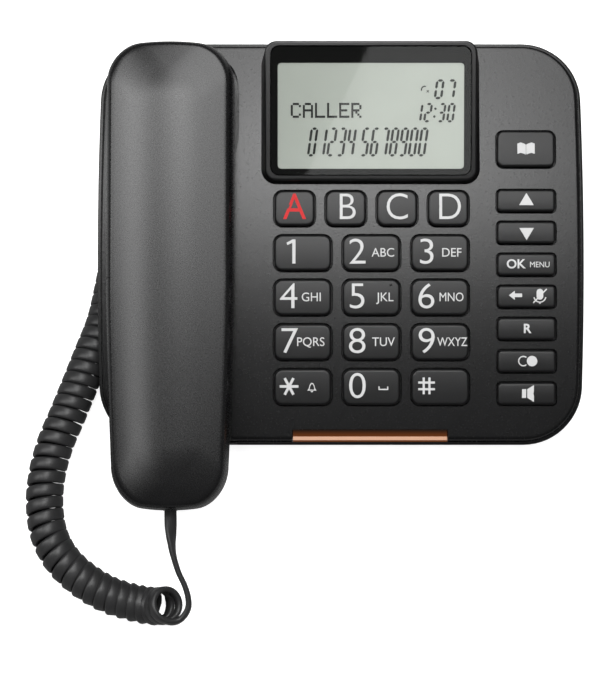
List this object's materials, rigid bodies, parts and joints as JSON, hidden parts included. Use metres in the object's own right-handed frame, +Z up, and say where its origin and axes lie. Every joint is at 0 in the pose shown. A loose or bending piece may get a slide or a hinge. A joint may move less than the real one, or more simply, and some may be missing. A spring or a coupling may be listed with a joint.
{
  "type": "corded desk telephone",
  "caption": "Corded desk telephone: wedge-shaped base with large sprung keys, raised display and front light bar, a handset in a side cradle, and its coiled cord.",
  "frame": {"origin": "on the table, at the middle of the box round the base and handset, measured without the handset cord", "axes": "+X to the user's right across the base, +Y to the rear, +Z up"},
  "size_m": [0.2457, 0.2534, 0.0794],
  "materials": {
    "housing": "fine spark-eroded grain, satin",
    "key": "smooth satin",
    "display_frame": "satin edge",
    "window": "polished, printed black border",
    "lcd": "reflective grey-green liquid crystal panel",
    "lcd_ink": "dark liquid crystal segments",
    "legend_white": "printed legend",
    "legend_red": "printed legend",
    "light_bar": "translucent light guide",
    "mat_rubber": "moulded silicone",
    "board": "solder-masked laminate",
    "jack": "moulded",
    "plug": "clear polycarbonate",
    "cord": "satin vinyl sheath",
    "foot_rubber": "matt",
    "steel": "zinc plated",
    "capsule": "pressed metal can"
  },
  "bodies": {
    "base": {"top_housing": "housing", "bottom_housing": "housing", "keypad_mat": "mat_rubber", "keypad_board": "board", "main_board": "board", "line_jack": "jack", "base_handset_jack": "jack", "base_plug": "plug", "loudspeaker": "capsule", "base_microphone": "capsule", "light_bar": "light_bar", "hook_switch": "jack", "display_housing": "display_frame", "display_window": "window", "lcd_panel": "lcd", "base_screw_1": "steel", "base_screw_2": "steel", "base_screw_3": "steel", "base_screw_4": "steel", "foot_1": "foot_rubber", "foot_2": "foot_rubber", "foot_3": "foot_rubber", "foot_4": "foot_rubber", "cord_coil": "cord", "cord_lead_base": "cord"},
    "handset": {"handset_back_shell": "housing", "handset_front_shell": "housing", "earpiece_capsule": "capsule", "microphone_capsule": "capsule", "handset_ballast": "steel", "handset_jack": "jack", "handset_plug": "plug", "handset_screw_1": "steel", "handset_screw_2": "steel", "cord_lead_handset": "cord"},
    "hook_plunger": {"hook_plunger": "jack"},
    "key_1": {"key_1": "key"},
    "key_2": {"key_2": "key"},
    "key_3": {"key_3": "key"},
    "key_4": {"key_4": "key"},
    "key_5": {"key_5": "key"},
    "key_6": {"key_6": "key"},
    "key_7": {"key_7": "key"},
    "key_8": {"key_8": "key"},
    "key_9": {"key_9": "key"},
    "key_star": {"key_star": "key"},
    "key_0": {"key_0": "key"},
    "key_hash": {"key_hash": "key"},
    "key_a": {"key_a": "key"},
    "key_b": {"key_b": "key"},
    "key_c": {"key_c": "key"},
    "key_d": {"key_d": "key"},
    "key_phonebook": {"key_phonebook": "key"},
    "key_up": {"key_up": "key"},
    "key_down": {"key_down": "key"},
    "key_ok": {"key_ok": "key"},
    "key_back": {"key_back": "key"},
    "key_recall": {"key_recall": "key"},
    "key_redial": {"key_redial": "key"},
    "key_speaker": {"key_speaker": "key"}
  },
  "joints": [
    {"name": "handset_lift", "type": "slide", "parent": "base", "child": "handset", "axis": [0, 0, 1], "range_m": [0, 0.08]},
    {"name": "hook_rise", "type": "slide", "parent": "base", "child": "hook_plunger", "axis": [0, 0, 1], "range_m": [0, 0.004]},
    {"name": "key_1_press", "type": "slide", "parent": "base", "child": "key_1", "axis": [0, 0.1611, -0.9869], "range_m": [0, 0.0015], "stiffness_N_per_m": 400, "springref_m": -0.0005},
    {"name": "key_2_press", "type": "slide", "parent": "base", "child": "key_2", "axis": [0, 0.1611, -0.9869], "range_m": [0, 0.0015], "stiffness_N_per_m": 400, "springref_m": -0.0005},
    {"name": "key_3_press", "type": "slide", "parent": "base", "child": "key_3", "axis": [0, 0.1611, -0.9869], "range_m": [0, 0.0015], "stiffness_N_per_m": 400, "springref_m": -0.0005},
    {"name": "key_4_press", "type": "slide", "parent": "base", "child": "key_4", "axis": [0, 0.1761, -0.9844], "range_m": [0, 0.0015], "stiffness_N_per_m": 400, "springref_m": -0.0005},
    {"name": "key_5_press", "type": "slide", "parent": "base", "child": "key_5", "axis": [0, 0.1761, -0.9844], "range_m": [0, 0.0015], "stiffness_N_per_m": 400, "springref_m": -0.0005},
    {"name": "key_6_press", "type": "slide", "parent": "base", "child": "key_6", "axis": [0, 0.1761, -0.9844], "range_m": [0, 0.0015], "stiffness_N_per_m": 400, "springref_m": -0.0005},
    {"name": "key_7_press", "type": "slide", "parent": "base", "child": "key_7", "axis": [0, 0.1909, -0.9816], "range_m": [0, 0.0015], "stiffness_N_per_m": 400, "springref_m": -0.0005},
    {"name": "key_8_press", "type": "slide", "parent": "base", "child": "key_8", "axis": [0, 0.1909, -0.9816], "range_m": [0, 0.0015], "stiffness_N_per_m": 400, "springref_m": -0.0005},
    {"name": "key_9_press", "type": "slide", "parent": "base", "child": "key_9", "axis": [0, 0.1909, -0.9816], "range_m": [0, 0.0015], "stiffness_N_per_m": 400, "springref_m": -0.0005},
    {"name": "key_star_press", "type": "slide", "parent": "base", "child": "key_star", "axis": [0, 0.2056, -0.9786], "range_m": [0, 0.0015], "stiffness_N_per_m": 400, "springref_m": -0.0005},
    {"name": "key_0_press", "type": "slide", "parent": "base", "child": "key_0", "axis": [0, 0.2056, -0.9786], "range_m": [0, 0.0015], "stiffness_N_per_m": 400, "springref_m": -0.0005},
    {"name": "key_hash_press", "type": "slide", "parent": "base", "child": "key_hash", "axis": [0, 0.2056, -0.9786], "range_m": [0, 0.0015], "stiffness_N_per_m": 400, "springref_m": -0.0005},
    {"name": "key_a_press", "type": "slide", "parent": "base", "child": "key_a", "axis": [0, 0.1459, -0.9893], "range_m": [0, 0.0015], "stiffness_N_per_m": 400, "springref_m": -0.0005},
    {"name": "key_b_press", "type": "slide", "parent": "base", "child": "key_b", "axis": [0, 0.1459, -0.9893], "range_m": [0, 0.0015], "stiffness_N_per_m": 400, "springref_m": -0.0005},
    {"name": "key_c_press", "type": "slide", "parent": "base", "child": "key_c", "axis": [0, 0.1459, -0.9893], "range_m": [0, 0.0015], "stiffness_N_per_m": 400, "springref_m": -0.0005},
    {"name": "key_d_press", "type": "slide", "parent": "base", "child": "key_d", "axis": [0, 0.1459, -0.9893], "range_m": [0, 0.0015], "stiffness_N_per_m": 400, "springref_m": -0.0005},
    {"name": "key_phonebook_press", "type": "slide", "parent": "base", "child": "key_phonebook", "axis": [0, 0.1254, -0.9921], "range_m": [0, 0.0015], "stiffness_N_per_m": 400, "springref_m": -0.0005},
    {"name": "key_up_press", "type": "slide", "parent": "base", "child": "key_up", "axis": [0, 0.1433, -0.9897], "range_m": [0, 0.0015], "stiffness_N_per_m": 400, "springref_m": -0.0005},
    {"name": "key_down_press", "type": "slide", "parent": "base", "child": "key_down", "axis": [0, 0.1542, -0.988], "range_m": [0, 0.0015], "stiffness_N_per_m": 400, "springref_m": -0.0005},
    {"name": "key_ok_press", "type": "slide", "parent": "base", "child": "key_ok", "axis": [0, 0.165, -0.9863], "range_m": [0, 0.0015], "stiffness_N_per_m": 400, "springref_m": -0.0005},
    {"name": "key_back_press", "type": "slide", "parent": "base", "child": "key_back", "axis": [0, 0.1758, -0.9844], "range_m": [0, 0.0015], "stiffness_N_per_m": 400, "springref_m": -0.0005},
    {"name": "key_recall_press", "type": "slide", "parent": "base", "child": "key_recall", "axis": [0, 0.1865, -0.9824], "range_m": [0, 0.0015], "stiffness_N_per_m": 400, "springref_m": -0.0005},
    {"name": "key_redial_press", "type": "slide", "parent": "base", "child": "key_redial", "axis": [0, 0.1972, -0.9804], "range_m": [0, 0.0015], "stiffness_N_per_m": 400, "springref_m": -0.0005},
    {"name": "key_speaker_press", "type": "slide", "parent": "base", "child": "key_speaker", "axis": [0, 0.2078, -0.9782], "range_m": [0, 0.0015], "stiffness_N_per_m": 400, "springref_m": -0.0005}
  ],
  "couplings": [
    {"joint": "hook_rise", "follows": "handset_lift", "ratio": 0.05}
  ]
}
